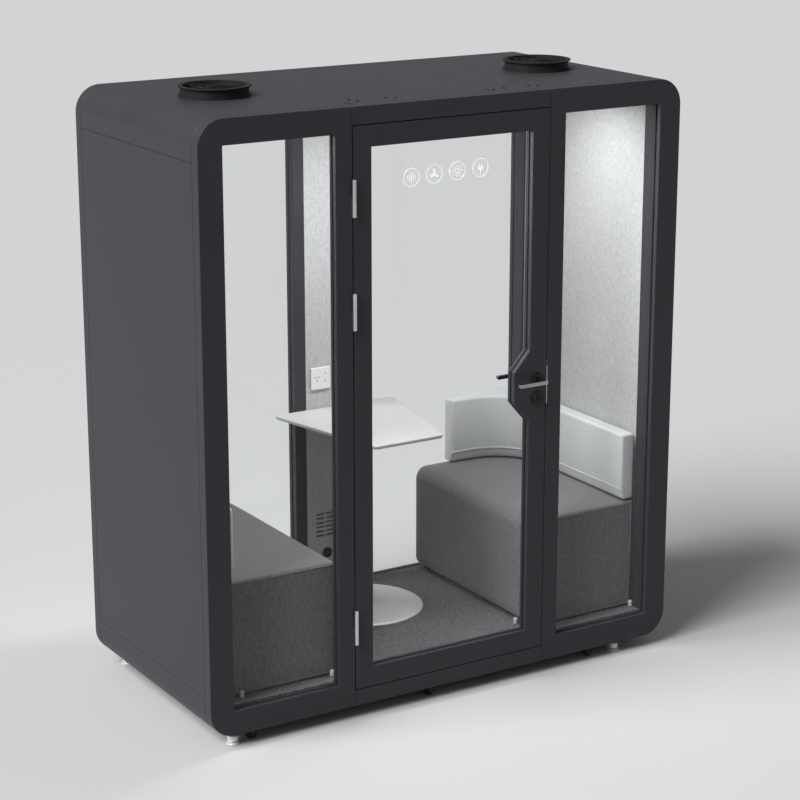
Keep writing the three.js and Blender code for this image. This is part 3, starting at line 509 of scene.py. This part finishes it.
# Back pads: light grey cloth over shaped foam, running along the side wall and turning
# the rear corner in one bend, tucked in below a seam low on the face.
back_cloth = finish("back_cloth", dark=(0.50, 0.515, 0.52), light=(0.72, 0.73, 0.73),
                    roughness=(0.9, 1.0), cloud=150.0, fine=620.0, share=0.5, bump=0.6, depth=0.0015,
                    sheen=0.2, spread=(0.3, 0.7), stretch=0.35)
PAD_THICK = 0.062
PAD_BEND = 0.21
PAD_SOFT = 0.011
PAD_TUCK = 0.012
PAD_SEAM_RISE = 0.045
PAD_BEND_STEPS = 14
PAD_CRISP = math.radians(40.0)
for side, sign in (("left", 1.0), ("right", -1.0)):
    low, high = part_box(side + "_back_pad")
    wall = low.x if side == "left" else high.x
    tip = high.x if side == "left" else low.x
    pad = bmesh.new()
    loops = []
    for z, thick in ((low.z, PAD_THICK - PAD_TUCK), (low.z + PAD_SEAM_RISE, PAD_THICK),
                     (high.z, PAD_THICK)):
        face = wall + sign * thick
        turn = Vector((face + sign * PAD_BEND, high.y - thick - PAD_BEND, z))
        front = [Vector((face, low.y, z))]
        for step in range(PAD_BEND_STEPS + 1):
            angle = step / PAD_BEND_STEPS * math.pi / 2
            front.append(turn + PAD_BEND * Vector((-sign * math.cos(angle), math.sin(angle), 0.0)))
        front.append(Vector((tip, high.y - thick, z)))
        ring = [Vector((wall, low.y, z)), *front, Vector((tip, high.y, z)), Vector((wall, high.y, z))]
        verts = [pad.verts.new(point) for point in ring]
        loops.append((verts, [pad.edges.new((a, b)) for a, b in zip(verts, verts[1:] + verts[:1])]))
        if z == low.z + PAD_SEAM_RISE:
            seam_run = front
    for (_, below), (_, above) in zip(loops, loops[1:]):
        bmesh.ops.bridge_loops(pad, edges=below + above)
    for verts, _ in (loops[0], loops[-1]):
        pad.faces.new(verts)
    bmesh.ops.recalc_face_normals(pad, faces=pad.faces)
    crisp = [e for e in pad.edges if e.calc_face_angle(0.0) > PAD_CRISP]
    bmesh.ops.bevel(pad, geom=crisp, offset=PAD_SOFT, segments=4, profile=0.5, affect="EDGES",
                    material=-1)
    piece = new_piece(side + "_back_cushion", pad, back_cloth)
    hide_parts(side + "_back_pad")
    seam = bmesh.new()
    sew(seam, seam_run, SEAM_RADIUS)
    new_piece(side + "_back_seam", seam, back_cloth)

# Table: matt white laminate top with a softened edge, bolted on a brushed steel pedestal
# whose round base plate stands on the carpet. The pedestal's pale, barely metallic colour is painted light
# that lifts the base plate out of the table's shadow.
table_laminate = finish("table_laminate", dark=(0.52, 0.52, 0.515), light=(0.57, 0.57, 0.565),
                        roughness=(0.38, 0.5), cloud=5.0, fine=600.0, share=0.4, bump=0.04,
                        depth=0.0002)
# Pedestal steel: its pale colour is painted light, lifting the base plate out of the table's shadow in
# place of the steel's reflection.
pedestal_steel_painted_light = finish("pedestal_steel_painted_light", dark=(0.76, 0.77, 0.78), light=(0.86, 0.87, 0.88),
                       roughness=(0.42, 0.55), cloud=6.0, fine=500.0, share=0.5, bump=0.08,
                       depth=0.0003, metallic=0.25)
dress("table_top", table_laminate, edge=0.003)
dress("table_pedestal", pedestal_steel_painted_light, edge=0.0012, sharp=20.0)

# Door furniture: satin hinge barrels, polished dark levers on black roses and a black lock,
# with a steel strike on the jamb and a rubber seal behind the door.
satin_steel = finish("satin_steel", dark=(0.48, 0.49, 0.5), light=(0.66, 0.67, 0.69),
                     roughness=(0.26, 0.38), cloud=6.0, fine=500.0, share=0.5, bump=0.06, depth=0.0002,
                     metallic=1.0)
black_metal = finish("black_metal", dark=(0.005, 0.005, 0.006), light=(0.009, 0.009, 0.010),
                     roughness=(0.35, 0.45), cloud=10.0, fine=800.0, share=0.5, bump=0.08, depth=0.0003,
                     gleam=0.3)
lever_metal = finish("lever_metal", dark=(0.26, 0.26, 0.27), light=(0.36, 0.36, 0.37),
                     roughness=(0.14, 0.22), cloud=10.0, fine=800.0, share=0.5, bump=0.05, depth=0.0002,
                     metallic=1.0)
for number in (1, 2, 3):
    dress(f"hinge_frame_knuckle_{number}", satin_steel, edge=0.0008)
    dress(f"hinge_door_knuckle_{number}", satin_steel, edge=0.0008)
for node in ("rose_outside", "lock_rose_outside", "lock_cylinder"):
    dress(node, black_metal, edge=0.0015)
for node in ("lever_outside", "lever_inside"):
    dress(node, lever_metal, edge=0.0015)
dress("latch_bolt", satin_steel, edge=0.001)
rose_low, rose_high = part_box("rose_outside")
lock_low, lock_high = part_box("lock_rose_outside")
door_low, door_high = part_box("door_frame")
INNER_ROSE_RADIUS = 0.026
INNER_ROSE_THICK = 0.008
INNER_ROSE_GAP = 0.0003
INNER_ROSE_EDGE = 0.002
inner_roses = bmesh.new()
for low, high in ((rose_low, rose_high), (lock_low, lock_high)):
    middle = (low + high) / 2
    rose_middle = door_high.y + INNER_ROSE_GAP + INNER_ROSE_THICK / 2
    round_bar(inner_roses, Vector((middle.x, rose_middle, middle.z)), INNER_ROSE_RADIUS, INNER_ROSE_THICK,
              axis="Y", sides=32, edge=INNER_ROSE_EDGE)
new_piece("inner_roses", inner_roses, black_metal, body="door", smooth=False)
STRIKE_OFF = 0.0001
STRIKE_PROUD = 0.0006
STRIKE_FRONT = 0.001
STRIKE_BACK = 0.040
STRIKE_HALF = 0.068
LIP_PROUD = 0.0009
LIP_WIDE = 0.0024
LIP_BELOW = 0.098
LIP_ABOVE = 0.046
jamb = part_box("front_right_frame")[0].x
strike = bmesh.new()
strike_middle = (rose_low.z + rose_high.z) / 2
block(strike, Vector((jamb - STRIKE_PROUD, FRONT_FACE + STRIKE_FRONT, strike_middle - STRIKE_HALF)),
      Vector((jamb - STRIKE_OFF, FRONT_FACE + STRIKE_BACK, strike_middle + STRIKE_HALF)))
block(strike, Vector((jamb, FRONT_FACE - LIP_PROUD, strike_middle - LIP_BELOW)),
      Vector((jamb + LIP_WIDE, FRONT_FACE - STRIKE_OFF, strike_middle + LIP_ABOVE)))
new_piece("strike_plate", strike, satin_steel, smooth=False)
seal_rubber = finish("seal_rubber", dark=(0.008, 0.008, 0.008), light=(0.014, 0.014, 0.014),
                     roughness=(0.6, 0.75), cloud=30.0, fine=900.0, share=0.5, bump=0.1, depth=0.0003)
SEAL_WIDE = 0.012
SEAL_THICK = 0.004
SEAL_LAP = 0.0025
SEAL_GAP = 0.0006
SEAL_EDGE = 0.001
seal = bmesh.new()
seal_front = door_high.y + SEAL_GAP
corner_low = Vector((door_low.x - SEAL_LAP, seal_front, door_low.z - SEAL_LAP))
corner_high = Vector((door_high.x + SEAL_LAP, seal_front + SEAL_THICK, door_high.z + SEAL_LAP))
for low, high in (
    (corner_low, Vector((corner_low.x + SEAL_WIDE, corner_high.y, corner_high.z))),
    (Vector((corner_high.x - SEAL_WIDE, corner_low.y, corner_low.z)), corner_high),
    (Vector((corner_low.x + SEAL_WIDE, corner_low.y, corner_high.z - SEAL_WIDE)),
     Vector((corner_high.x - SEAL_WIDE, corner_high.y, corner_high.z))),
    (corner_low + Vector((SEAL_WIDE, 0.0, 0.0)),
     Vector((corner_high.x - SEAL_WIDE, corner_high.y, corner_low.z + SEAL_WIDE))),
):
    block(seal, low, high, edge=SEAL_EDGE)
new_piece("door_seal", seal, seal_rubber, smooth=False)

# Pictograms on the door glass: pale film cut as rings with plain signs for sound, air,
# light and power, stuck on the outer face. The film has a painted glow, so it shines paler than the light
# falling on it.
pale_film = finish("pale_film", dark=(0.80, 0.80, 0.81), light=(0.86, 0.86, 0.87), roughness=(0.5, 0.6),
                   cloud=30.0, fine=300.0, share=0.5, bump=0.02, depth=0.0001)
FILM = 0.0003
FILM_OFF = 0.0004
FILM_PAINTED_GLOW = 0.5
SIGN_RADIUS = 0.034
SIGN_LINE = 0.003
SIGN_PLACES = ((0.841, 1.931), (0.936, 1.934), (1.032, 1.937), (1.130, 1.940))
SOUND_BARS = ((-0.016, 0.012), (-0.008, 0.026), (0.0, 0.036), (0.008, 0.022), (0.016, 0.012))
FAN_BLADES = 3
BLADE_OUT, BLADE_WIDE, BLADE_LONG = 0.010, 0.009, 0.016
SUN_RAYS = 8
SUN_RADIUS, RAY_OUT, RAY_LONG = 0.010, 0.0185, 0.008
PLUG_WIDE, PLUG_TALL, PLUG_DROP = 0.022, 0.014, 0.002
CORD_LONG, CORD_DROP = 0.014, 0.015
PRONG_ASIDE, PRONG_LONG, PRONG_RISE = 0.006, 0.011, 0.0105
# Painted glow: the film emits a faint white light of its own, though it is no lamp.
film_shader = pale_film.node_tree.nodes["Principled BSDF"]
film_shader.inputs["Emission Color"].default_value = (1.0, 1.0, 1.0, 1.0)
film_shader.inputs["Emission Strength"].default_value = FILM_PAINTED_GLOW
film_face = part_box("door_glass")[0].y - FILM_OFF
signs = bmesh.new()


def film_bar(centre, wide, tall, lean=0.0):
    """A straight strip of film on the glass, leaning by an angle."""
    made = bmesh.ops.create_cube(signs, size=1.0)["verts"]
    bmesh.ops.scale(signs, vec=(wide, FILM, tall), verts=made)
    bmesh.ops.rotate(signs, matrix=Matrix.Rotation(lean, 3, "Y"), verts=made)
    bmesh.ops.translate(signs, vec=centre, verts=made)


def film_ring(centre, radius, line):
    """A ring of film on the glass."""
    start = [signs.verts.new((centre.x + radius - line * side, centre.y + FILM * lift, centre.z))
             for side, lift in ((0, 0), (0, 1), (1, 1), (1, 0))]
    edges = [signs.edges.new((start[i], start[(i + 1) % 4])) for i in range(4)]
    bmesh.ops.spin(signs, geom=start + edges, cent=centre, axis=(0.0, 1.0, 0.0), angle=2 * math.pi,
                   steps=40, use_merge=True)


centres = [Vector((at(x, 0.0, 0.0).x, film_face, at(0.0, 0.0, z).z)) for x, z in SIGN_PLACES]
for centre in centres:
    film_ring(centre, SIGN_RADIUS, SIGN_LINE)
for offset, tall in SOUND_BARS:
    film_bar(centres[0] + Vector((offset, 0.0, 0.0)), SIGN_LINE, tall)
for blade in range(FAN_BLADES):
    angle = blade * 2 * math.pi / FAN_BLADES
    way = Vector((math.sin(angle), 0.0, math.cos(angle)))
    film_bar(centres[1] + BLADE_OUT * way, BLADE_WIDE, BLADE_LONG, angle)
film_ring(centres[2], SUN_RADIUS, SIGN_LINE)
for ray in range(SUN_RAYS):
    angle = ray * 2 * math.pi / SUN_RAYS
    way = Vector((math.sin(angle), 0.0, math.cos(angle)))
    film_bar(centres[2] + RAY_OUT * way, SIGN_LINE, RAY_LONG, angle)
film_bar(centres[3] - Vector((0.0, 0.0, PLUG_DROP)), PLUG_WIDE, PLUG_TALL)
film_bar(centres[3] - Vector((0.0, 0.0, CORD_DROP)), SIGN_LINE, CORD_LONG)
for aside in (-PRONG_ASIDE, PRONG_ASIDE):
    film_bar(centres[3] + Vector((aside, 0.0, PRONG_RISE)), SIGN_LINE, PRONG_LONG)
new_piece("glass_signs", signs, pale_film, body="door", smooth=False)

# Roof fans: black moulded barrels with a wire guard over a bladed rotor, screwed over an opening
# in the roof, with a pad of open black foam pressed into the airway below to keep sound and dust out.
# The pad's black is also painted shade, so the airway seen between the blades reads dark.
# Filter foam: black of its own, and also painted shade for the airway below each rotor.
filter_foam_and_airway_shade = finish("filter_foam_and_airway_shade", dark=(0.006, 0.006, 0.006), light=(0.016, 0.016, 0.017),
                     roughness=(0.9, 1.0), cloud=120.0, fine=500.0, share=0.6, bump=0.8, depth=0.002,
                     gleam=0.1)
FILTER_RADIUS = 0.1135
FILTER_THICK = 0.010
FILTER_DROP = 0.004
filters = bmesh.new()
for side in ("left", "right"):
    dress(side + "_fan_housing", black_plastic, edge=0.0006)
    dress(side + "_fan_rotor", black_plastic, edge=0.0005)
    low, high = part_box(side + "_fan_housing")
    middle = (low + high) / 2
    round_bar(filters, Vector((middle.x, middle.y, low.z - FILTER_DROP - FILTER_THICK / 2)), FILTER_RADIUS,
              FILTER_THICK, sides=48)
new_piece("fan_filters", filters, filter_foam_and_airway_shade, smooth=False)

# Feet and rollers: plated levelling feet with turning collars carry the pod, and black rollers
# in black steel forks hang just clear of the floor for moving it. The feet's pale colour is a painted
# reflection of their plating.
COLLAR_RADIUS = 0.021
COLLAR_LOW = 0.010
COLLAR_TALL = 0.022
COLLAR_EDGE = 0.003
collars = bmesh.new()
for node in ("front_left_foot", "front_right_foot", "rear_left_foot", "rear_right_foot"):
    dress(node, plate_painted_gleam, edge=0.001)
    low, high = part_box(node)
    stem = (low + high) / 2
    round_bar(collars, Vector((stem.x, stem.y, low.z + COLLAR_LOW + COLLAR_TALL / 2)), COLLAR_RADIUS,
              COLLAR_TALL, sides=32, edge=COLLAR_EDGE)
new_piece("foot_collars", collars, plate_painted_gleam, smooth=False)
for row, number in (("front", 1), ("front", 2), ("front", 3), ("rear", 4), ("rear", 5)):
    dress(f"{row}_roller_fork_{number}", black_metal, edge=0.0006)
    dress(f"{row}_roller_wheel_{number}", black_plastic, edge=0.001)
